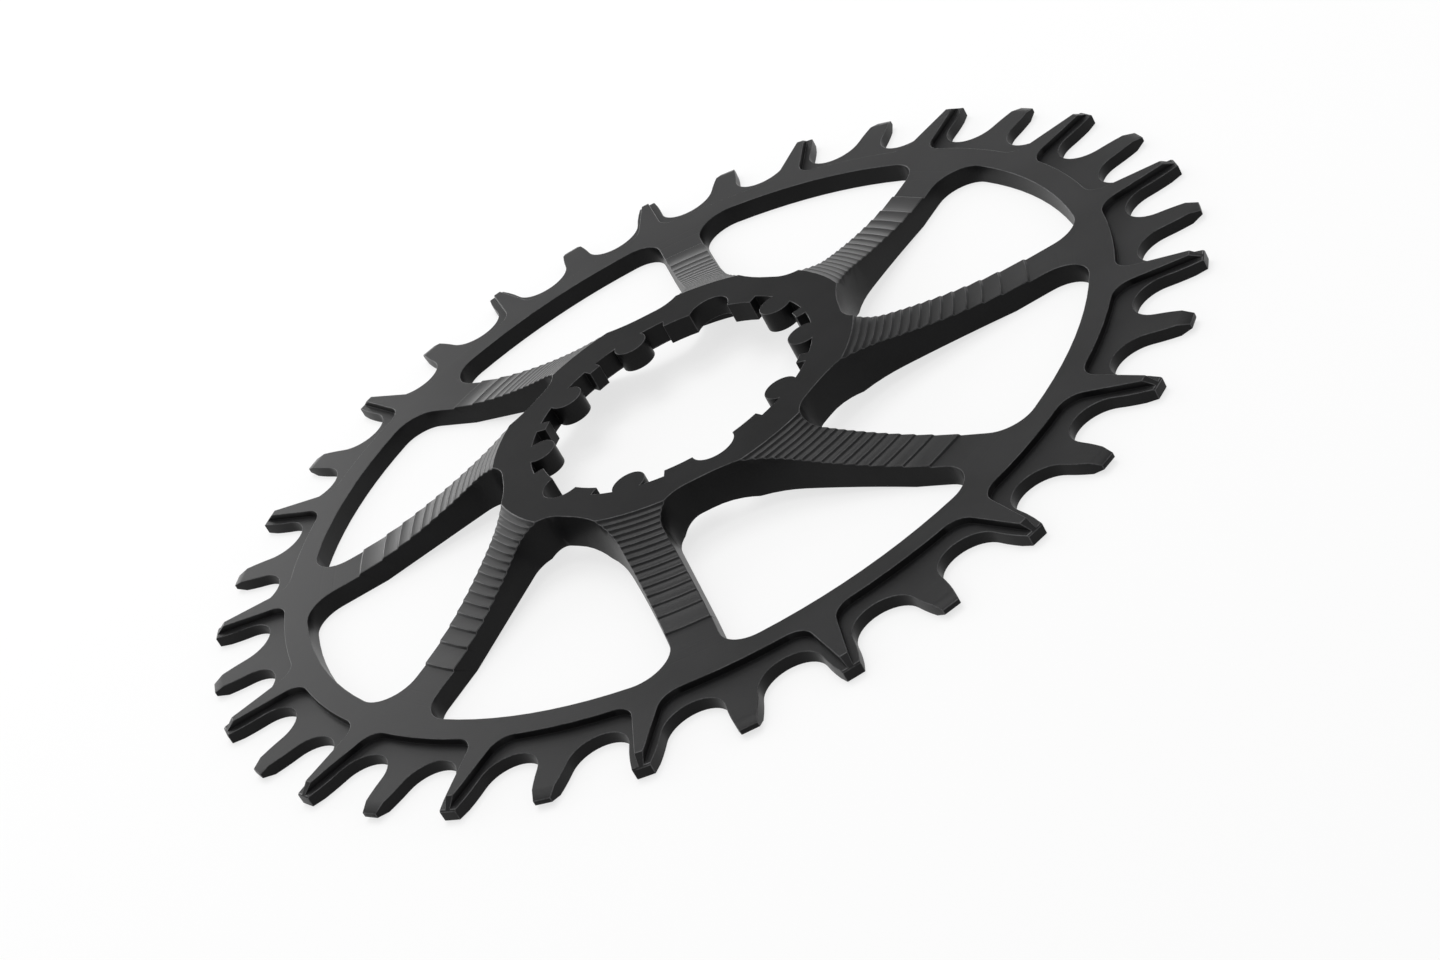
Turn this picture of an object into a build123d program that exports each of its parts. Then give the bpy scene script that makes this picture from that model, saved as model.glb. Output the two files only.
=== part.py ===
"""One-piece dished bicycle chainring with alternating narrow and wide teeth.

Units are millimetres. The axis is +Z and the flat back of the rim lies on z = 0.
The mounting face of the hub is on the +Z side.
"""
import os
from math import cos, degrees, pi, radians, sin, sqrt, tan

from build123d import *

# Chain and teeth
tooth_count = 34
chain_pitch = 12.7
seat_radius = 4.25
flank_angle = 9.0
tooth_height = 4.78
tip_width = 2.4
rim_thickness = 2.65
narrow_thickness = 1.7
wide_tip_flat = 1.4
wide_tip_chamfer = 1.7
narrow_tip_flat = 0.7
narrow_tip_chamfer = 1.6

# Pockets cut in the front face beside the narrow teeth, leaving a keel on each wide tooth
pocket_reach = 7.02
pocket_corner_radius = 3.0
keel_root_width = 5.0
keel_tip_width = 0.5

# Dished web and its milled stairs
hub_height = 7.5
hub_face_margin = 0.4
dish_margin = 2.9
step_count = 16
riser_share = 0.3
hub_plate_thickness = 4.35
back_seat_wall = 4.5
back_bevel_width = 2.2
back_cone_margin = 8.0
back_cone_rise = 1.85

# Windows and swept spokes
spoke_count = 8
spoke_phase = 0.9
spoke_offset = 12.38
spoke_hub_width = 7.95
spoke_rim_width = 6.8
spoke_bow = 0.6
hub_wall = 5.3
rim_reach = 10.92
window_rim_corner = 4.3
window_hub_corner = 3.8
window_blend = 20.0
window_draft = 7.0
window_overcut = 1.0

# Splined opening
lobe_count = 10
lobe_phase = 14.0
notch_positions = (0, 4, 6)
valley_radius = 21.0
lobe_height = 3.6
lobe_nose_radius = 2.4
land_height = 1.4
land_width = 1.9
notch_radius = 3.0
notch_depth = 1.5
spline_thickness = 3.05
recess_wall = 2.5

# Derived sizes
pitch_radius = chain_pitch / 2 / sin(pi / tooth_count)
tooth_angle = 360 / tooth_count
pair_count = tooth_count // 2
narrow_phase = tooth_angle / 2
wide_phase = 1.5 * tooth_angle
tooth_middle = narrow_thickness / 2
tip_radius = pitch_radius + tooth_height
outside_radius = tip_radius + tooth_height
pocket_wall_radius = pitch_radius - pocket_reach
pocket_depth = rim_thickness - narrow_thickness
keel_end_radius = tip_radius + keel_tip_width
window_outer_radius = pitch_radius - rim_reach
window_inner_radius = valley_radius + hub_wall
hub_face_radius = window_inner_radius + hub_face_margin
dish_outer_radius = window_outer_radius - dish_margin
back_seat_radius = valley_radius + back_seat_wall
back_cone_inner_radius = back_seat_radius + back_bevel_width
back_cone_outer_radius = dish_outer_radius - back_cone_margin
back_recess_radius = valley_radius + recess_wall
spoke_angle = 360 / spoke_count
lobe_angle = 360 / lobe_count
lobe_tip_radius = valley_radius - lobe_height
land_radius = valley_radius - land_height
land_half_angle = degrees(land_width / 2 / land_radius)
notch_reach = valley_radius + notch_depth
hub_back = hub_height - hub_plate_thickness
spline_back = hub_height - spline_thickness
bore_blank_radius = lobe_tip_radius - lobe_height
through_all = 3 * hub_height


def dish_arc_radius(top_radius, foot_radius, rise):
    """Radius of the arc that rises from a level foot to a given point."""
    run = foot_radius - top_radius
    return (run**2 + rise**2) / (2 * rise)


def polar(radius, angle):
    """Point in the plane at a radius and an angle in degrees."""
    return (radius * cos(radians(angle)), radius * sin(radians(angle)))


def stepped_dish():
    """Milled stairs from the hub face to the rim face: equal risers that straddle the dish arc."""
    rise = hub_height - rim_thickness
    riser = rise / step_count
    arc_radius = dish_arc_radius(hub_face_radius, dish_outer_radius, rise)
    middles = []
    for step in range(step_count):
        height = rise - (step + 0.5) * riser
        middles.append((dish_outer_radius - sqrt(2 * arc_radius * height - height**2), height))
    half_run = riser_share * (middles[1][0] - middles[0][0]) / 2
    stairs = []
    for radius, height in middles:
        stairs.append((radius - half_run, rim_thickness + height + riser / 2))
        stairs.append((radius + half_run, rim_thickness + height - riser / 2))
    return stairs


def line_at_radius(point, direction, radius):
    """Outer crossing of a straight line with a circle about the axis."""
    along = point[0] * direction[0] + point[1] * direction[1]
    square = point[0] ** 2 + point[1] ** 2
    step = -along + sqrt(along**2 - square + radius**2)
    return (point[0] + step * direction[0], point[1] + step * direction[1])


def spoke_edge(side, turn):
    """Hub and rim ends of one spoke edge: side +1 or -1 of its centre line, turned in plan."""
    hub_point = (window_inner_radius, -spoke_offset + side * spoke_hub_width / 2)
    rim_point = (window_outer_radius, -spoke_offset + side * spoke_rim_width / 2)
    length = sqrt((rim_point[0] - hub_point[0]) ** 2 + (rim_point[1] - hub_point[1]) ** 2)
    direction = ((rim_point[0] - hub_point[0]) / length, (rim_point[1] - hub_point[1]) / length)
    ends = []
    for radius in (window_inner_radius, window_outer_radius):
        end = line_at_radius(hub_point, direction, radius)
        angle = radians(turn)
        ends.append((end[0] * cos(angle) - end[1] * sin(angle), end[0] * sin(angle) + end[1] * cos(angle)))
    return ends


def bowed_middle(ends):
    """Middle point of a spoke edge that bows into the spoke by a small sagitta."""
    run = (ends[1][0] - ends[0][0], ends[1][1] - ends[0][1])
    length = sqrt(run[0] ** 2 + run[1] ** 2)
    middle = ((ends[0][0] + ends[1][0]) / 2, (ends[0][1] + ends[1][1]) / 2)
    return (middle[0] - spoke_bow * run[1] / length, middle[1] + spoke_bow * run[0] / length)


def land_sector(angle, half_angle):
    """Face of a land: the sector between the land circle and past the valley circle."""
    reach = 2 * valley_radius - land_radius
    with BuildSketch(mode=Mode.PRIVATE) as sector:
        Polygon((0, 0), polar(reach, angle - half_angle), polar(reach, angle + half_angle), align=None)
        Circle(land_radius, mode=Mode.SUBTRACT)
    return sector.sketch


def tooth_gap():
    """Outline of one gap about +X: a roller seat and two bulged flanks out to the tips."""
    lean = radians(flank_angle)
    half_gap = tooth_angle / 2 - degrees(tip_width / 2 / tip_radius)
    seat_end = (pitch_radius - seat_radius * sin(lean), seat_radius * cos(lean))
    tip_end = polar(tip_radius, half_gap)
    mouth = polar(outside_radius, half_gap)
    with BuildSketch(mode=Mode.PRIVATE) as gap:
        with BuildLine():
            upper = TangentArc(seat_end, tip_end, tangent=(cos(lean), sin(lean)))
            mirror(upper, about=Plane.XZ)
            ThreePointArc(seat_end, (pitch_radius - seat_radius, 0), (seat_end[0], -seat_end[1]))
            Polyline(tip_end, mouth, (mouth[0], -mouth[1]), (tip_end[0], -tip_end[1]))
        make_face()
    return gap.sketch


def tip_bevel(phase, thickness, flat, setback):
    """Conical cutters over and under the tips of every second tooth, leaving a flat at mid tooth."""
    reach = outside_radius - tip_radius
    with BuildPart(mode=Mode.PRIVATE) as cutter:
        with BuildSketch(Plane.XZ):
            for face, side in ((0, -1), (thickness, 1)):
                edge = tooth_middle + side * flat / 2
                slope = (edge - face) / setback
                clear = face + side * hub_height
                with BuildLine():
                    Polyline(
                        (tip_radius - setback, face),
                        (outside_radius, edge + slope * reach),
                        (outside_radius, clear),
                        (tip_radius - setback, clear),
                        close=True,
                    )
                make_face()
        revolve(axis=Axis.Z)
        with BuildSketch(Plane.XY.offset(-through_all)):
            with PolarLocations(0, pair_count, start_angle=phase):
                half = outside_radius * tan(radians(tooth_angle / 2))
                Polygon((0, 0), (outside_radius, -half), (outside_radius, half), align=None)
        extrude(amount=2 * through_all, mode=Mode.INTERSECT)
    return cutter.part


with BuildPart() as chainring:
    # Turned blank: flat hub face, stepped dish, flat rim, and a coned back with a hub seat and a recess
    with BuildSketch(Plane.XZ):
        with BuildLine():
            Polyline(
                (bore_blank_radius, spline_back),
                (bore_blank_radius, hub_height),
                *stepped_dish(),
                (tip_radius, rim_thickness),
                (tip_radius, 0),
                (back_cone_outer_radius, 0),
                (back_cone_inner_radius, back_cone_rise),
                (back_seat_radius, hub_back),
                (back_recess_radius, hub_back),
                (back_recess_radius, spline_back),
                close=True,
            )
        make_face()
    revolve(axis=Axis.Z)

    # Windows between the swept spokes, drafted so that they open towards the front
    with BuildSketch(mode=Mode.PRIVATE) as window:
        leading = spoke_edge(1, spoke_phase)
        trailing = spoke_edge(-1, spoke_phase + spoke_angle)
        with BuildLine():
            Line(leading[0], leading[1])
            RadiusArc(leading[1], trailing[1], -window_outer_radius)
            ThreePointArc(trailing[1], bowed_middle(trailing), trailing[0])
            RadiusArc(trailing[0], leading[0], window_inner_radius)
        make_face()
        rim_corners = window.vertices().filter_by(lambda v: v.center().length > window_outer_radius - 0.1)
        fillet(rim_corners, window_rim_corner)
        hub_corners = window.vertices().filter_by(lambda v: v.center().length < window_inner_radius + 0.1)
        fillet(hub_corners.sort_by(Axis.Y)[0], window_hub_corner)
        hub_corners = window.vertices().filter_by(lambda v: v.center().length < window_inner_radius + 0.1)
        fillet(hub_corners.sort_by(Axis.Y)[-1], window_blend)
    with BuildPart(mode=Mode.PRIVATE) as cutter:
        with BuildSketch(Plane.XY.offset(-window_overcut)):
            add(window.sketch)
        extrude(amount=hub_height + 2 * window_overcut)
        walls = cutter.faces().filter_by(lambda face: abs(face.normal_at().Z) < 0.5)
        draft(walls, Plane.XY, -window_draft)
    with PolarLocations(0, spoke_count):
        add(cutter.part, mode=Mode.SUBTRACT)

    # Splined opening: nosed lobes and narrow lands on an even division, notches in place of some lobes
    with BuildSketch():
        Circle(valley_radius)
        lobe_angles = [lobe_phase + lobe_angle * place for place in range(lobe_count)]
        notch_angles = [lobe_angles[place] for place in notch_positions]
        for angle in lobe_angles:
            if angle not in notch_angles:
                with Locations(polar(lobe_tip_radius + lobe_nose_radius, angle)):
                    Circle(lobe_nose_radius, mode=Mode.SUBTRACT)
            add(land_sector(angle + lobe_angle / 2, land_half_angle), mode=Mode.SUBTRACT)
        for angle in notch_angles:
            add(land_sector(angle, lobe_angle / 2 + land_half_angle), mode=Mode.SUBTRACT)
            with Locations(polar(notch_reach - notch_radius, angle)):
                Circle(notch_radius)
    extrude(amount=through_all, mode=Mode.SUBTRACT)

    # Tooth gaps
    with BuildSketch():
        with PolarLocations(0, tooth_count):
            add(tooth_gap())
    extrude(amount=through_all, mode=Mode.SUBTRACT)

    # Pockets in the front face: everything outside the pocket wall goes, except the keels
    with BuildSketch(mode=Mode.PRIVATE) as raised_face:
        Circle(pocket_wall_radius)
        with PolarLocations(0, pair_count, start_angle=wide_phase):
            Polygon(
                (pocket_wall_radius - pocket_corner_radius, -keel_root_width / 2),
                (keel_end_radius, -keel_tip_width / 2),
                (keel_end_radius, keel_tip_width / 2),
                (pocket_wall_radius - pocket_corner_radius, keel_root_width / 2),
                align=None,
            )
        roots = raised_face.vertices().filter_by(lambda v: v.center().length < pocket_wall_radius + 0.1)
        fillet(roots, pocket_corner_radius)
    with BuildSketch(Plane.XY.offset(narrow_thickness)):
        Circle(outside_radius - 0.5)
        add(raised_face.sketch, mode=Mode.SUBTRACT)
    extrude(amount=pocket_depth, mode=Mode.SUBTRACT)

    # Tip bevels: each kind of tooth is cut back to a flat rim at mid thickness
    for phase, thickness, flat, setback in (
        (narrow_phase, narrow_thickness, narrow_tip_flat, narrow_tip_chamfer),
        (wide_phase, rim_thickness, wide_tip_flat, wide_tip_chamfer),
    ):
        add(tip_bevel(phase, thickness, flat, setback), mode=Mode.SUBTRACT)

chainring.part.label = "chainring"
os.makedirs("parts", exist_ok=True)
export_step(chainring.part, "parts/chainring.step")
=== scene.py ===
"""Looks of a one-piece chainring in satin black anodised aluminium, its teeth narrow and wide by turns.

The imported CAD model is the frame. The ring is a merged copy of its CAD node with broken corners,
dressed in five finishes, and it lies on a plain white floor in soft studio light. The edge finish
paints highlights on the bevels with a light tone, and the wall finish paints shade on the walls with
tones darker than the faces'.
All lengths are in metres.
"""

import logging
import math
from dataclasses import dataclass, field
from enum import Enum
from functools import partial

import bmesh
import bpy
import numpy as np
from mathutils import Euler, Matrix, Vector


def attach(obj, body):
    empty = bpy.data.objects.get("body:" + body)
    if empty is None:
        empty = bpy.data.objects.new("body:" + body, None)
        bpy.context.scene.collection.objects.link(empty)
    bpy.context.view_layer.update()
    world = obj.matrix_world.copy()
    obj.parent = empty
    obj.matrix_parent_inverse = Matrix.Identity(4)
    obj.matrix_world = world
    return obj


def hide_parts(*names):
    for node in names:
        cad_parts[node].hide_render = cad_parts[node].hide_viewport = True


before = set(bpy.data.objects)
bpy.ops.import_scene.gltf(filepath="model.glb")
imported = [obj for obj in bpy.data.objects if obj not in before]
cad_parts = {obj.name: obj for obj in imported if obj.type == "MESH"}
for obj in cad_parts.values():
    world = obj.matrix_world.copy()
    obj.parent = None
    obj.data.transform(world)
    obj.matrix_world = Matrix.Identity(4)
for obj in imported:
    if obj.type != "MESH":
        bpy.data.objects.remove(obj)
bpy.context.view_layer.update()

LOG = logging.getLogger("chainring_scene")

Colour = tuple[float, float, float]
Tree = bpy.types.NodeTree
Socket = bpy.types.NodeSocket

# Inputs of the shared grain, each with the value of a finish that feeds it.
GRAIN_INPUTS: dict[str, str] = {
    "Grain Scale": "grain_scale",
    "Cloud Scale": "cloud_scale",
    "Ring Pitch": "ring_pitch",
    "Grain Height": "grain_height",
    "Ring Height": "ring_height",
    "Streak Height": "streak_height",
    "Mean Roughness": "roughness",
    "Roughness Spread": "roughness_spread",
}


class EdgeKind(Enum):
    """The kinds of corner on the ring, each with the mesh attribute that carries its bevel weight."""

    OUTER = "outer_edge"
    INNER = "inner_edge"


class FaceMark(Enum):
    """Mesh attributes that tell the finishes what kind of face they lie on."""

    LEVEL = "level_face"
    TREAD = "tread_face"
    STAIR = "stair_face"


class Slot(Enum):
    """Material slots of the ring, in their order on the mesh."""

    FACE = 0
    # Bevel faces of the outer corners, lightened as a painted highlight.
    EDGE = 1
    HUB = 2
    # Walls, darkened as painted shade.
    WALL = 3
    STAIR = 4


class Ray(Enum):
    """The rays of the Light Path node that see the plain white background."""

    CAMERA = "Is Camera Ray"
    GLOSSY = "Is Glossy Ray"
    TRANSMISSION = "Is Transmission Ray"


def new_object(name: str, data: bpy.types.ID) -> bpy.types.Object:
    """Add an object to the scene.

    Args:
        name: Name of the object.
        data: Its mesh, lamp or camera.

    Returns:
        The new object, at the origin.
    """
    made = bpy.data.objects.new(name, data)
    bpy.context.scene.collection.objects.link(made)
    return made


def read_values(items: bpy.types.bpy_prop_collection, name: str, width: int = 1,
                kind: type = np.float32) -> np.ndarray:
    """Read one property of every item at once.

    Args:
        items: Items to read, such as a mesh's vertices.
        name: Property to read.
        width: How many numbers each item has.
        kind: Type of the numbers.

    Returns:
        One row for each item, or one number where the width is 1.
    """
    values = np.empty(len(items) * width, kind)
    items.foreach_get(name, values)
    return values.reshape(-1, width) if width > 1 else values


def new_node(tree: Tree, kind: str, **values: object) -> bpy.types.Node:
    """Add a node and set its properties.

    Args:
        tree: Node tree that takes the node.
        kind: Blender's type name of the node.
        values: Properties of the node by name.

    Returns:
        The new node.
    """
    node = tree.nodes.new(kind)
    for key, value in values.items():
        setattr(node, key, value)
    return node


def math_node(tree: Tree, operation: str, *inputs: Socket | float) -> Socket:
    """Add a Math node and feed its inputs with sockets or numbers.

    Args:
        tree: Node tree that takes the node.
        operation: Math operation, such as MULTIPLY.
        inputs: Sockets to link or numbers to set, in order.

    Returns:
        The node's output socket.
    """
    node = new_node(tree, "ShaderNodeMath", operation=operation)
    for socket, value in zip(node.inputs, inputs):
        if isinstance(value, Socket):
            tree.links.new(value, socket)
        else:
            socket.default_value = value
    return node.outputs[0]


def face_mark(tree: Tree, mark: FaceMark) -> Socket:
    """Add a node that reads a mark of the faces, from 0 to 1."""
    return new_node(tree, "ShaderNodeAttribute", attribute_name=mark.value).outputs["Fac"]


def object_place(tree: Tree) -> Socket:
    """Add a node that reads the place on the piece."""
    return new_node(tree, "ShaderNodeTexCoord").outputs["Object"]


def drawn_place(tree: Tree, place: Socket, factors: tuple[float, float, float]) -> Socket:
    """Add a node that multiplies a place part by part.

    Args:
        tree: Node tree that takes the node.
        place: Socket with the place.
        factors: Factor of x, y and z; a pattern is drawn out along a small one.

    Returns:
        The drawn place.
    """
    drawn = new_node(tree, "ShaderNodeVectorMath", operation="MULTIPLY")
    drawn.inputs[1].default_value = factors
    tree.links.new(place, drawn.inputs[0])
    return drawn.outputs["Vector"]


def axis_distance(tree: Tree, place: Socket) -> Socket:
    """Add nodes that give the distance from the ring's axis, the length of (x, y, 0).

    Args:
        tree: Node tree that takes the nodes.
        place: Socket with the place on the piece.

    Returns:
        The distance.
    """
    length = new_node(tree, "ShaderNodeVectorMath", operation="LENGTH")
    tree.links.new(drawn_place(tree, place, (1.0, 1.0, 0.0)), length.inputs[0])
    return length.outputs["Value"]


@dataclass(frozen=True)
class SatinGrain:
    """Shared node group: blasted grain, turned rings on level faces, cutter streaks on walls, clouding."""

    name: str = "satin_grain"
    grain_detail: float = 3.0
    cloud_detail: float = 4.0
    streak_detail: float = 2.0
    streak_draw: tuple[float, float, float] = (1.0, 1.0, 0.03)
    ring_wander: float = 6.0
    grain_tone: float = 0.5
    middle: float = 0.5

    def build(self) -> Tree:
        """Build the group once.

        Tone is a slow noise plus a share of the fine grain. Roughness is the mean plus both
        noises, taken from their middle, times its spread. Height is the grain, plus a sine of the
        radius on level faces, plus a noise drawn out upright on walls.

        Returns:
            The node group, with outputs Tone, Roughness and Height.
        """
        tree = bpy.data.node_groups.new(self.name, "ShaderNodeTree")
        for label in GRAIN_INPUTS:
            tree.interface.new_socket(label, in_out="INPUT", socket_type="NodeSocketFloat")
        for label in ("Tone", "Roughness", "Height"):
            tree.interface.new_socket(label, in_out="OUTPUT", socket_type="NodeSocketFloat")

        calc = partial(math_node, tree)
        given = new_node(tree, "NodeGroupInput").outputs
        place = object_place(tree)
        grain = self._noise(tree, place, given["Grain Scale"], self.grain_detail)
        cloud = self._noise(tree, place, given["Cloud Scale"], self.cloud_detail)
        level = face_mark(tree, FaceMark.LEVEL)

        turns = calc("DIVIDE", axis_distance(tree, place), given["Ring Pitch"])
        wander = calc("MULTIPLY_ADD", cloud, self.ring_wander, turns)
        ring = calc("SINE", calc("MULTIPLY", wander, math.tau))
        ring = calc("MULTIPLY", calc("MULTIPLY", ring, level), given["Ring Height"])

        drawn = drawn_place(tree, place, self.streak_draw)
        streak = self._noise(tree, drawn, given["Grain Scale"], self.streak_detail)
        streak = calc("MULTIPLY", streak, calc("SUBTRACT", 1.0, level))
        marks = calc("MULTIPLY_ADD", streak, given["Streak Height"], ring)

        shift = calc("SUBTRACT", grain, self.middle)
        tone = calc("MULTIPLY_ADD", shift, self.grain_tone, cloud)
        rough = calc("ADD", calc("SUBTRACT", cloud, self.middle), shift)
        rough = calc("MULTIPLY_ADD", rough, given["Roughness Spread"], given["Mean Roughness"])
        height = calc("MULTIPLY_ADD", grain, given["Grain Height"], marks)

        result = new_node(tree, "NodeGroupOutput").inputs
        for label, socket in (("Tone", tone), ("Roughness", rough), ("Height", height)):
            tree.links.new(socket, result[label])
        return tree

    @staticmethod
    def _noise(tree: Tree, place: Socket, scale: Socket, detail: float) -> Socket:
        """Add a noise texture.

        Args:
            tree: Node tree that takes the node.
            place: Socket with the place.
            scale: Socket with the noise's scale per metre.
            detail: Number of finer layers.

        Returns:
            The noise value, about 0 to 1.
        """
        noise = new_node(tree, "ShaderNodeTexNoise")
        noise.inputs["Detail"].default_value = detail
        tree.links.new(place, noise.inputs["Vector"])
        tree.links.new(scale, noise.inputs["Scale"])
        return noise.outputs["Fac"]


@dataclass(frozen=True)
class Dish:
    """The milled dish between hub face and rim face: an arc that leaves the rim face level."""

    rim_face: float = 0.00265
    hub_face: float = 0.0075
    inner: float = 0.0267
    outer: float = 0.0550
    step_count: int = 16

    @property
    def rise(self) -> float:
        """Height of the hub face over the rim face."""
        return self.hub_face - self.rim_face

    @property
    def step(self) -> float:
        """Height of one stair."""
        return self.rise / self.step_count

    @property
    def arc(self) -> float:
        """Radius of the arc, (run^2 + rise^2) / (2 * rise)."""
        return ((self.outer - self.inner) ** 2 + self.rise**2) / (2.0 * self.rise)

    def between_faces(self, heights: np.ndarray, margin: float) -> np.ndarray:
        """Tell which heights lie between the rim face and the hub face, clear of both by a margin."""
        return (heights > self.rim_face + margin) & (heights < self.hub_face - margin)

    def near_arc(self, points: np.ndarray, band: float) -> tuple[np.ndarray, np.ndarray]:
        """Measure points against the arc.

        The arc's height over the rim face is R - sqrt(R^2 - reach^2), where R is its radius and
        reach is how far a point lies inside the dish's outer radius.

        Args:
            points: Places, one row each.
            band: How far from the arc, up or down, a point still counts as near.

        Returns:
            Which points are near the arc, and how far the arc is above each point.
        """
        radius = np.hypot(points[:, 0], points[:, 1])
        reach = np.clip(self.outer - radius, 0.0, self.outer - self.inner)
        above = self.rim_face + self.arc - np.sqrt(self.arc**2 - reach**2) - points[:, 2]
        return (np.abs(above) < band) & (reach > 0.0), above


@dataclass(frozen=True)
class StairScallops:
    """Shape of the treads as a round cutter leaves them, and turned lines at the foot of the dish."""

    dish: Dish
    scallop: float = 0.9
    cusp: float = 0.5
    riser_place: float = 0.5
    line_radii: tuple[float, ...] = (0.0542, 0.0563)
    line_width: float = 0.00009
    line_depth: float = 0.000005

    def height(self, tree: Tree) -> Socket:
        """Add the nodes that give the height over the faces.

        The arc of the dish passes a riser at a set part of its step. On a tread the share p goes
        from 0 at the riser's foot to 1 at the next riser, and the cutter leaves a hollow of
        step * (scallop * (1 - p)^2 + cusp * p^2). A turned line is a groove of the shape
        exp(-(distance / width)^2).

        Args:
            tree: Node tree that takes the nodes.

        Returns:
            The height socket.
        """
        calc = partial(math_node, tree)
        dish = self.dish
        radius = axis_distance(tree, object_place(tree))
        reach = calc("MAXIMUM", calc("SUBTRACT", dish.outer, radius), 0.0)
        square = calc("MULTIPLY", reach, reach)
        root = calc("SQRT", calc("SUBTRACT", dish.arc**2, square))
        fallen = calc("SUBTRACT", root, dish.arc - dish.rise)
        steps = calc("DIVIDE", fallen, dish.step)
        share = calc("FRACT", calc("SUBTRACT", steps, self.riser_place))
        fillet = calc("POWER", calc("SUBTRACT", 1.0, share), 2.0)
        cusp = calc("MULTIPLY", calc("MULTIPLY", share, share), self.cusp)
        hollow = calc("MULTIPLY_ADD", fillet, self.scallop, cusp)
        tread = face_mark(tree, FaceMark.TREAD)
        total = calc("MULTIPLY", calc("MULTIPLY", hollow, dish.step), tread)
        for line in self.line_radii:
            away = calc("DIVIDE", calc("SUBTRACT", radius, line), self.line_width)
            fall = calc("MULTIPLY", calc("MULTIPLY", away, away), -1.0)
            total = calc("MULTIPLY_ADD", calc("EXPONENT", fall), -self.line_depth, total)
        return total


@dataclass(frozen=True)
class AnodisedFinish:
    """An anodised surface: two tones of its colour, its gloss, and how deep its grain is. On the edge
    finish the light tone is a painted highlight, and on the wall finish the darker tones are painted
    shade.
    """

    name: str
    dark: Colour
    light: Colour
    roughness: float
    specular: float
    roughness_spread: float = 0.10
    grain_scale: float = 5200.0
    grain_height: float = 3.0e-6
    cloud_scale: float = 90.0
    ring_pitch: float = 0.00045
    ring_height: float = 0.4e-6
    streak_height: float = 0.0
    tone_ends: tuple[float, float] = (0.3, 0.7)
    stairs: StairScallops | None = None
    calm_mark: FaceMark | None = None
    calm_share: float = 0.35

    def material(self, grain: Tree) -> bpy.types.Material:
        """Build the material around the shared grain.

        The tone blends the dark tone into the light one, less a share on faces with the calm mark; on the
        edge finish the light tone is a painted highlight, which the calm mark dims on the stair corners.
        The grain's height, with that of the stairs where they are given, becomes a bump.

        Args:
            grain: The satin grain node group.

        Returns:
            The material.
        """
        made = bpy.data.materials.new(self.name)
        made.use_nodes = True
        made.diffuse_color = (*self.light, 1.0)
        tree = made.node_tree
        shader = next(n for n in tree.nodes if n.type == "BSDF_PRINCIPLED")
        shader.inputs["Specular IOR Level"].default_value = self.specular

        group = new_node(tree, "ShaderNodeGroup", node_tree=grain)
        for label, value in GRAIN_INPUTS.items():
            group.inputs[label].default_value = getattr(self, value)

        ramp = new_node(tree, "ShaderNodeValToRGB")
        for stop, place, colour in zip(ramp.color_ramp.elements, self.tone_ends, (self.dark, self.light)):
            stop.position = place
            stop.color = (*colour, 1.0)
        bump = new_node(tree, "ShaderNodeBump")
        bump.inputs["Strength"].default_value = 1.0
        bump.inputs["Distance"].default_value = 1.0
        tone = group.outputs["Tone"]
        height = group.outputs["Height"]
        if self.calm_mark is not None:
            calm = math_node(tree, "MULTIPLY", face_mark(tree, self.calm_mark), self.calm_share)
            tone = math_node(tree, "SUBTRACT", tone, calm)
        if self.stairs is not None:
            height = math_node(tree, "ADD", height, self.stairs.height(tree))
        for source, target in ((tone, ramp.inputs["Fac"]),
                               (ramp.outputs["Color"], shader.inputs["Base Color"]),
                               (group.outputs["Roughness"], shader.inputs["Roughness"]),
                               (height, bump.inputs["Height"]),
                               (bump.outputs["Normal"], shader.inputs["Normal"])):
            tree.links.new(source, target)
        return made


DISH = Dish()
STAIRS = StairScallops(DISH)
FINISHES: dict[Slot, AnodisedFinish] = {
    Slot.FACE: AnodisedFinish(
        name="anodised_black_face", dark=(0.0110, 0.0110, 0.0114), light=(0.0180, 0.0180, 0.0186),
        roughness=0.38, specular=0.105, stairs=STAIRS),
    # Bevel faces: the light tone, about four times the face's, is a painted highlight along the corners,
    # dimmed on the stairs by the calm mark.
    Slot.EDGE: AnodisedFinish(
        name="anodised_edge_painted_highlight", dark=(0.008, 0.008, 0.0084), light=(0.070, 0.070, 0.072),
        roughness=0.34, specular=0.25, roughness_spread=0.16, grain_scale=2600.0, grain_height=2.0e-6,
        cloud_scale=260.0, ring_height=0.0, calm_mark=FaceMark.STAIR),
    Slot.HUB: AnodisedFinish(
        name="anodised_black_hub", dark=(0.0085, 0.0085, 0.0088), light=(0.0140, 0.0140, 0.0145),
        roughness=0.42, specular=0.033),
    # Walls: both tones are darker than the face's, as painted shade on the walls.
    Slot.WALL: AnodisedFinish(
        name="anodised_wall_painted_shade", dark=(0.0045, 0.0045, 0.0047), light=(0.0085, 0.0085, 0.0089),
        roughness=0.36, specular=0.12, roughness_spread=0.12, grain_scale=4200.0, grain_height=2.0e-6,
        cloud_scale=120.0, ring_height=0.0, streak_height=2.5e-6),
    Slot.STAIR: AnodisedFinish(
        name="anodised_black_stair", dark=(0.0125, 0.0125, 0.0129), light=(0.0205, 0.0205, 0.0211),
        roughness=0.36, specular=0.14, stairs=STAIRS),
}


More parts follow.
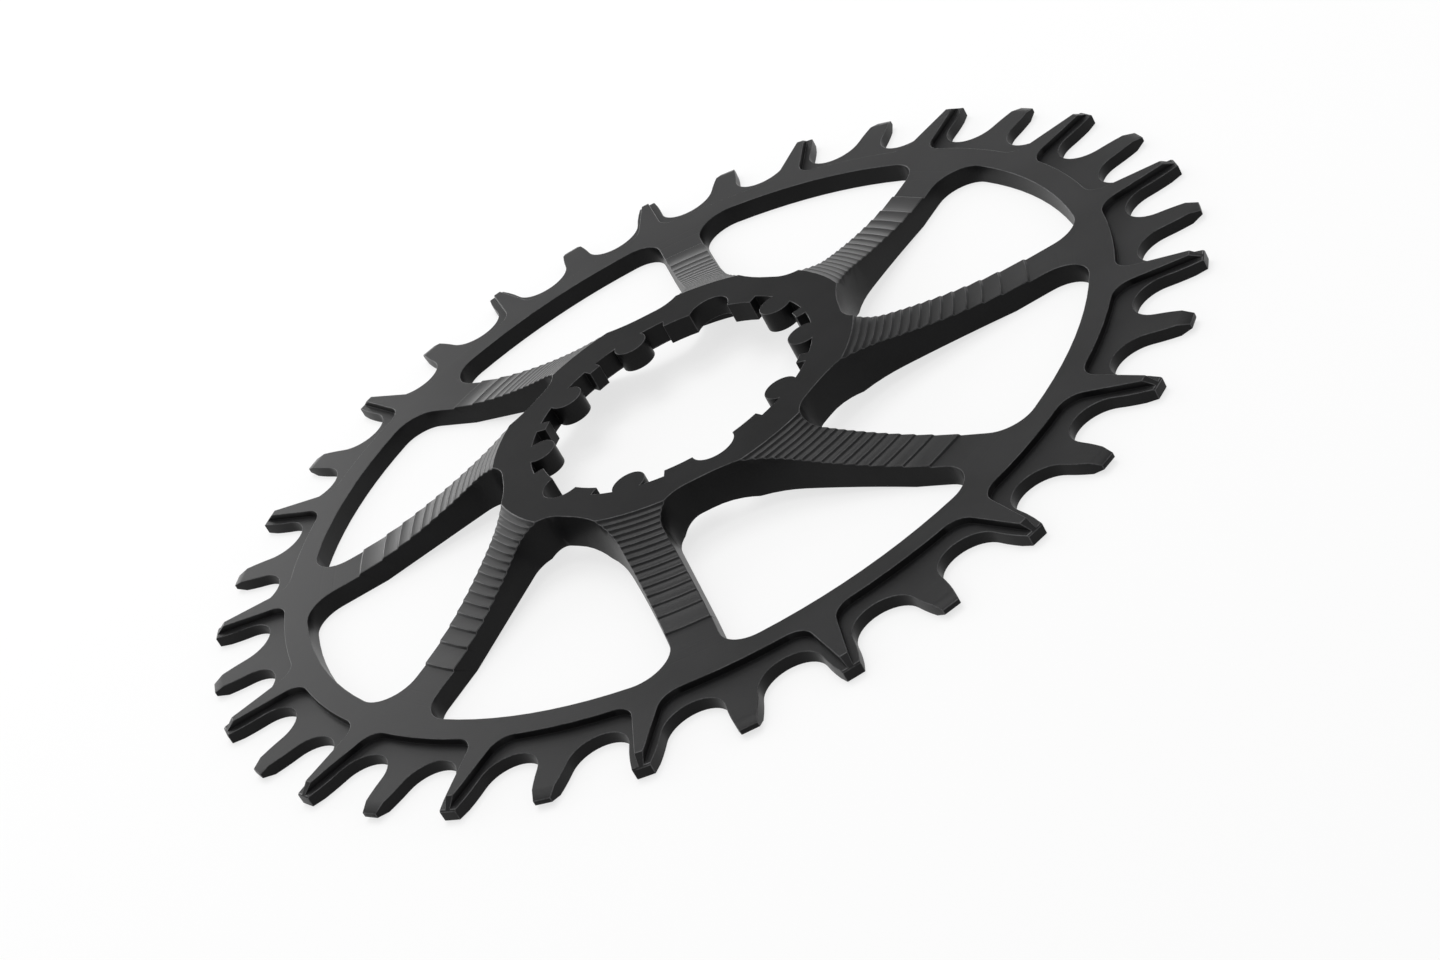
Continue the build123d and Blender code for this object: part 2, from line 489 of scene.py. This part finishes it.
@dataclass
class ChainringBody:
    """The ring itself: a merged copy of its CAD node whose corners are broken like machined ones."""

    node: str = "chainring"
    body: str = "root"
    slot: str = "anodised_black"
    name: str = "chainring_ring"
    dish: Dish = DISH
    merge_grid: float = 1e-6
    flat_angle: float = math.radians(0.2)
    corner_angle: float = math.radians(18.0)
    level_angle: float = math.radians(25.0)
    outer_break: float = 0.00009
    inner_fillet: float = 0.00006
    bevel_segments: int = 2
    weld_distance: float = 2e-6
    normal_weight: int = 100
    height_margin: float = 2e-6
    tread_margin: float = 2e-5
    tread_ease: float = 0.3
    corner_band: float = 0.0002
    stair_band: float = 0.0003
    outward_share: float = 0.8
    wall_steps: float = 1.3
    steep_share: float = 0.5
    piece: bpy.types.Object | None = field(default=None, init=False)

    def build(self) -> bpy.types.Object:
        """Copy, merge and bevel the CAD node, and put the copy in its place.

        Returns:
            The new piece, riding on the CAD body.
        """
        mesh = self._merged_copy(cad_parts[self.node])
        self._join_flat_faces(mesh)
        self._mark_faces(mesh)
        self._pick_slots(mesh)
        self._mark_corners(mesh)
        self.piece = new_object(self.name, mesh)
        # The outer bevels take the edge finish, whose light tone is a painted highlight.
        self._bevel(EdgeKind.OUTER, self.outer_break, Slot.EDGE)
        self._bevel(EdgeKind.INNER, self.inner_fillet, Slot.FACE)
        self._finish_mesh()
        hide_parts(self.node)
        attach(self.piece, self.body)
        return self.piece

    def dress(self, finishes: dict[Slot, bpy.types.Material]) -> None:
        """Give every slot of the ring its finish."""
        for slot in Slot:
            self.piece.data.materials.append(finishes[slot])

    def _merged_copy(self, node: bpy.types.Object) -> bpy.types.Mesh:
        """Copy the node's loose triangles with shared corners.

        Corners that round to the same point of a fine grid become one vertex, and a triangle
        that loses a corner by that is left out.

        Args:
            node: The CAD node's object.

        Returns:
            A new closed mesh of triangles.
        """
        source = node.data
        source.calc_loop_triangles()
        corners = read_values(source.vertices, "co", 3)
        triangles = read_values(source.loop_triangles, "vertices", 3, np.int32)
        cells = np.round(corners.astype(float) / self.merge_grid).astype(np.int64)
        points, index = np.unique(cells, axis=0, return_inverse=True)
        faces = index.reshape(-1)[triangles]
        whole = (faces != np.roll(faces, 1, axis=1)).all(axis=1)
        mesh = bpy.data.meshes.new(self.name)
        mesh.from_pydata(self._eased(points * self.merge_grid).tolist(), [], faces[whole].tolist())
        mesh.validate()
        return mesh

    def _eased(self, points: np.ndarray) -> np.ndarray:
        """Lean the treads of the stairs a little along the dish, as a round cutter leaves them.

        A stair corner, which lies within a small band of the dish's arc, moves part of the way
        up or down to it. The corners at the rim face and the hub face stay.

        Args:
            points: Vertex places, one row each.

        Returns:
            The places with the stair corners eased.
        """
        near, above = self.dish.near_arc(points, self.corner_band)
        on_stairs = near & self.dish.between_faces(points[:, 2], self.height_margin)
        eased = points.copy()
        eased[:, 2] += np.where(on_stairs, self.tread_ease * above, 0.0)
        return eased

    def _join_flat_faces(self, mesh: bpy.types.Mesh) -> None:
        """Join triangles that lie in one plane, so that only real corners are left as edges.

        Args:
            mesh: Mesh whose triangles are joined.
        """
        work = bmesh.new()
        work.from_mesh(mesh)
        bmesh.ops.dissolve_limit(work, angle_limit=self.flat_angle, verts=work.verts, edges=work.edges)
        work.to_mesh(mesh)
        work.free()

    def _mark_faces(self, mesh: bpy.types.Mesh) -> None:
        """Store how level each face is, which faces are treads, and which belong to the stairs.

        Levelness is the upright part of the face normal, stretched from the cosine of the level
        angle to 1. A tread is a level face that looks up from between the rim face and the hub
        face, and the stairs are the treads with the faces beside the dish's arc that look outwards.

        Args:
            mesh: Mesh that takes the three marks.
        """
        normals = read_values(mesh.polygons, "normal", 3)
        centres = read_values(mesh.polygons, "center", 3)
        upright = normals[:, 2]
        edge = math.cos(self.level_angle)
        level = np.clip((np.abs(upright) - edge) / (1.0 - edge), 0.0, 1.0)
        tread = (upright > edge) & self.dish.between_faces(centres[:, 2], self.tread_margin)
        radius = np.hypot(centres[:, 0], centres[:, 1])
        outwards = (normals[:, :2] * centres[:, :2]).sum(axis=1) > self.outward_share * radius
        near, _ = self.dish.near_arc(centres, self.stair_band)
        stair = tread | (outwards & near)
        for mark, values in ((FaceMark.LEVEL, level), (FaceMark.TREAD, tread), (FaceMark.STAIR, stair)):
            marks = mesh.attributes.new(mark.value, "FLOAT", "FACE")
            marks.data.foreach_set("value", values.astype(np.float32))

    def _pick_slots(self, mesh: bpy.types.Mesh) -> None:
        """Choose the material slot of every face.

        Faces at the hub's height are the hub face. Steep faces that are taller than a stair's
        riser are walls, darkened with painted shade. The stairs are marked already, and the rest keep the
        plain face finish.

        Args:
            mesh: Mesh whose faces get their slots.
        """
        upright = np.abs(read_values(mesh.polygons, "normal", 3)[:, 2])
        first = read_values(mesh.polygons, "loop_start", kind=np.int32)
        vertex = read_values(mesh.loops, "vertex_index", kind=np.int32)
        height = read_values(mesh.vertices, "co", 3)[vertex, 2]
        low = np.minimum.reduceat(height, first)
        high = np.maximum.reduceat(height, first)
        hub = low > self.dish.hub_face - self.height_margin
        wall = (high - low > self.wall_steps * self.dish.step) & (upright < self.steep_share)
        stair = read_values(mesh.attributes[FaceMark.STAIR.value].data, "value").astype(bool)
        chosen = [Slot.HUB.value, Slot.WALL.value, Slot.STAIR.value]
        slots = np.select([hub, wall, stair], chosen, Slot.FACE.value)
        mesh.polygons.foreach_set("material_index", slots.astype(np.int32))

    def _mark_corners(self, mesh: bpy.types.Mesh) -> None:
        """Weigh the corners of each kind for their bevels and shade the rest smooth.

        An edge is a corner where its two faces turn by more than the corner angle. It is an outer
        one where they turn away from each other and an inner one where they turn to each other.

        Args:
            mesh: Mesh that takes the weights.
        """
        turn = self._corner_turns(mesh)
        for kind, chosen in ((EdgeKind.OUTER, turn > self.corner_angle),
                             (EdgeKind.INNER, turn < -self.corner_angle)):
            weights = mesh.attributes.new(kind.value, "FLOAT", "EDGE")
            weights.data.foreach_set("value", chosen.astype(np.float32))
        mesh.polygons.foreach_set("use_smooth", np.ones(len(mesh.polygons), bool))
        mesh.set_sharp_from_angle(angle=self.corner_angle)

    @staticmethod
    def _corner_turns(mesh: bpy.types.Mesh) -> np.ndarray:
        """Work out how the two faces of every edge of a closed mesh turn.

        With d the direction of the edge as face a runs along it, the turn is the angle whose sine
        is d . (a x b) and whose cosine is a . b, for the face normals a and b; it is positive on
        an outer corner.

        Args:
            mesh: Closed mesh, in which every edge has two faces.

        Returns:
            The turn of every edge, in radians.
        """
        places = read_values(mesh.vertices, "co", 3).astype(float)
        normals = read_values(mesh.polygons, "normal", 3).astype(float)
        edge = read_values(mesh.loops, "edge_index", kind=np.int32)
        vertex = read_values(mesh.loops, "vertex_index", kind=np.int32)
        first = read_values(mesh.polygons, "loop_start", kind=np.int32)
        count = read_values(mesh.polygons, "loop_total", kind=np.int32)
        face = np.repeat(np.arange(len(mesh.polygons)), count)
        following = np.arange(1, len(mesh.loops) + 1)
        following[first + count - 1] = first
        one, other = np.argsort(edge, kind="stable").reshape(-1, 2).T
        run = places[vertex[following[one]]] - places[vertex[one]]
        along = run / np.linalg.norm(run, axis=1, keepdims=True)
        a = normals[face[one]]
        b = normals[face[other]]
        return np.arctan2((along * np.cross(a, b)).sum(axis=1), (a * b).sum(axis=1))

    def _bevel(self, kind: EdgeKind, width: float, slot: Slot) -> None:
        """Add a bevel to one kind of corner.

        Args:
            kind: Which corners.
            width: Bevel width.
            slot: Material slot of the bevel's faces.
        """
        bevel = self.piece.modifiers.new(kind.value, "BEVEL")
        bevel.limit_method = "WEIGHT"
        bevel.edge_weight = kind.value
        bevel.width = width
        bevel.segments = self.bevel_segments
        bevel.use_clamp_overlap = False
        bevel.loop_slide = False
        bevel.material = slot.value

    def _finish_mesh(self) -> None:
        """Weld the corners that the bevels closed up, and let the large faces lead the shading.

        Where two bevels meet on a short edge they leave faces of no width, which the weld takes
        away. Normals are then weighed by area, so that flat faces stay flat up to their bevels.
        """
        weld = self.piece.modifiers.new("weld", "WELD")
        weld.merge_threshold = self.weld_distance
        weigh = self.piece.modifiers.new("weighted_normals", "WEIGHTED_NORMAL")
        weigh.mode = "FACE_AREA"
        weigh.weight = self.normal_weight
        weigh.keep_sharp = False


@dataclass(frozen=True)
class SoftLamp:
    """A soft box, placed by its direction and distance from the middle of the ring."""

    name: str
    azimuth: float
    elevation: float
    distance: float
    width: float
    height: float
    power: float

    def build(self) -> bpy.types.Object:
        """Make the lamp, turned to the middle of the ring.

        Returns:
            The lamp's object.
        """
        data = bpy.data.lights.new(self.name, "AREA")
        data.shape = "RECTANGLE"
        data.size = self.width
        data.size_y = self.height
        data.energy = self.power
        lamp = new_object(self.name, data)
        turn = math.radians(self.azimuth)
        rise = math.radians(self.elevation)
        away = Vector((math.cos(turn) * math.cos(rise), math.sin(turn) * math.cos(rise), math.sin(rise)))
        lamp.location = away * self.distance
        lamp.rotation_euler = (-away).to_track_quat("-Z", "Y").to_euler()
        return lamp


@dataclass(frozen=True)
class FloorPaint:
    """White paint that keeps the shadow, whitened for the rays that see the background."""

    name: str = "white_floor"
    colour: Colour = (0.93, 0.93, 0.93)
    white_share: float = 0.72

    def material(self) -> bpy.types.Material:
        """Build the paint as a share of plain white over a dull surface.

        Returns:
            The material.
        """
        made = bpy.data.materials.new(self.name)
        made.use_nodes = True
        tree = made.node_tree
        tree.nodes.clear()
        paint = new_node(tree, "ShaderNodeBsdfDiffuse")
        paint.inputs["Color"].default_value = (*self.colour, 1.0)
        white = new_node(tree, "ShaderNodeEmission")
        blend = new_node(tree, "ShaderNodeMixShader")
        share = math_node(tree, "MULTIPLY", self._background_rays(tree), self.white_share)
        tree.links.new(share, blend.inputs["Fac"])
        tree.links.new(paint.outputs["BSDF"], blend.inputs[1])
        tree.links.new(white.outputs["Emission"], blend.inputs[2])
        output = new_node(tree, "ShaderNodeOutputMaterial")
        tree.links.new(blend.outputs["Shader"], output.inputs["Surface"])
        return made

    @staticmethod
    def _background_rays(tree: Tree) -> Socket:
        """Add a Light Path and join the rays that see the background.

        Args:
            tree: Node tree that takes the nodes.

        Returns:
            A socket that is 1 for those rays and 0 for the others.
        """
        path = new_node(tree, "ShaderNodeLightPath").outputs
        joined = math_node(tree, "MAXIMUM", path[Ray.CAMERA.value], path[Ray.GLOSSY.value])
        return math_node(tree, "MAXIMUM", joined, path[Ray.TRANSMISSION.value])


@dataclass
class Studio:
    """White floor, pale surroundings and soft lamps."""

    floor_reach: float = 3.0
    floor_gap: float = 0.00004
    floor_points: int = 9
    floor_paint: FloorPaint = FloorPaint()
    world_levels: tuple[tuple[float, float], ...] = (
        (0.0, 1.0), (0.12, 0.92), (0.30, 0.66), (0.42, 0.56), (1.0, 0.50))
    lamps: tuple[SoftLamp, ...] = (
        SoftLamp("far_softbox", 74.0, 18.0, 0.80, 0.56, 0.42, 1.5),
        SoftLamp("low_softbox", 44.0, 5.0, 0.95, 1.00, 0.17, 1.0),
        SoftLamp("high_softbox", 46.0, 60.0, 0.85, 0.50, 0.40, 2.6),
        SoftLamp("top_softbox", 0.0, 90.0, 0.90, 0.60, 0.60, 1.2),
    )

    def build(self) -> None:
        """Make the floor, the world and the lamps."""
        self._floor()
        self._world()
        for lamp in self.lamps:
            lamp.build()
            LOG.info("lamp %s", lamp.name)

    def _floor(self) -> None:
        """Lay a square grid of points, level and just under the ring, and paint it."""
        line = np.linspace(-self.floor_reach, self.floor_reach, self.floor_points)
        x, y = np.meshgrid(line, line)
        points = np.column_stack([x.ravel(), y.ravel(), np.full(x.size, -self.floor_gap)])
        grid = np.arange(x.size).reshape(x.shape)
        corners = (grid[:-1, :-1], grid[:-1, 1:], grid[1:, 1:], grid[1:, :-1])
        faces = np.column_stack([corner.ravel() for corner in corners])
        mesh = bpy.data.meshes.new("floor")
        mesh.from_pydata(points.tolist(), [], faces.tolist())
        floor = new_object("floor", mesh)
        mesh.materials.append(self.floor_paint.material())
        LOG.info("floor")

    def _world(self) -> None:
        """Light the ring from all round: white at the horizon, greyer with the sine of the height."""
        world = bpy.data.worlds.new("pale_room")
        world.use_nodes = True
        bpy.context.scene.world = world
        tree = world.node_tree
        back = next(n for n in tree.nodes if n.type == "BACKGROUND")
        height = new_node(tree, "ShaderNodeSeparateXYZ")
        tree.links.new(new_node(tree, "ShaderNodeTexCoord").outputs["Generated"], height.inputs[0])
        ramp = new_node(tree, "ShaderNodeValToRGB")
        stops = ramp.color_ramp.elements
        while len(stops) < len(self.world_levels):
            stops.new(1.0)
        for stop, (sine, level) in zip(stops, self.world_levels):
            stop.position = sine
            stop.color = (level, level, level, 1.0)
        tree.links.new(height.outputs["Z"], ramp.inputs["Fac"])
        tree.links.new(ramp.outputs["Color"], back.inputs["Color"])


@dataclass(frozen=True)
class PhotoCamera:
    """The photograph's viewpoint, found by fitting the ring's outline."""

    name: str = "photo_camera"
    location: tuple[float, float, float] = (-0.27098, -0.28042, 0.19742)
    turn_degrees: tuple[float, float, float] = (58.6803, 26.4277, -59.1616)
    lens: float = 81.336
    sensor: float = 36.0
    nearest: float = 0.01
    farthest: float = 20.0

    def build(self) -> bpy.types.Object:
        """Make the camera and hand it to the scene.

        Returns:
            The camera's object.
        """
        data = bpy.data.cameras.new(self.name)
        data.lens = self.lens
        data.sensor_width = self.sensor
        data.sensor_fit = "HORIZONTAL"
        data.clip_start = self.nearest
        data.clip_end = self.farthest
        camera = new_object(self.name, data)
        camera.location = self.location
        camera.rotation_euler = Euler([math.radians(a) for a in self.turn_degrees], "XYZ")
        bpy.context.scene.camera = camera
        return camera


def main() -> None:
    """Build the camera, the ring with its finishes and the studio, and note the sizes."""
    logging.basicConfig(level=logging.INFO, format="%(name)s: %(message)s")
    bpy.context.scene.view_settings.view_transform = "Standard"
    PhotoCamera().build()
    grain = SatinGrain().build()
    ring = ChainringBody()
    ring.build()
    ring.dress({slot: finish.material(grain) for slot, finish in FINISHES.items()})
    LOG.info("piece %s, %d faces before its bevels", ring.name, len(ring.piece.data.polygons))
    Studio().build()


if __name__ == "__main__":
    main()
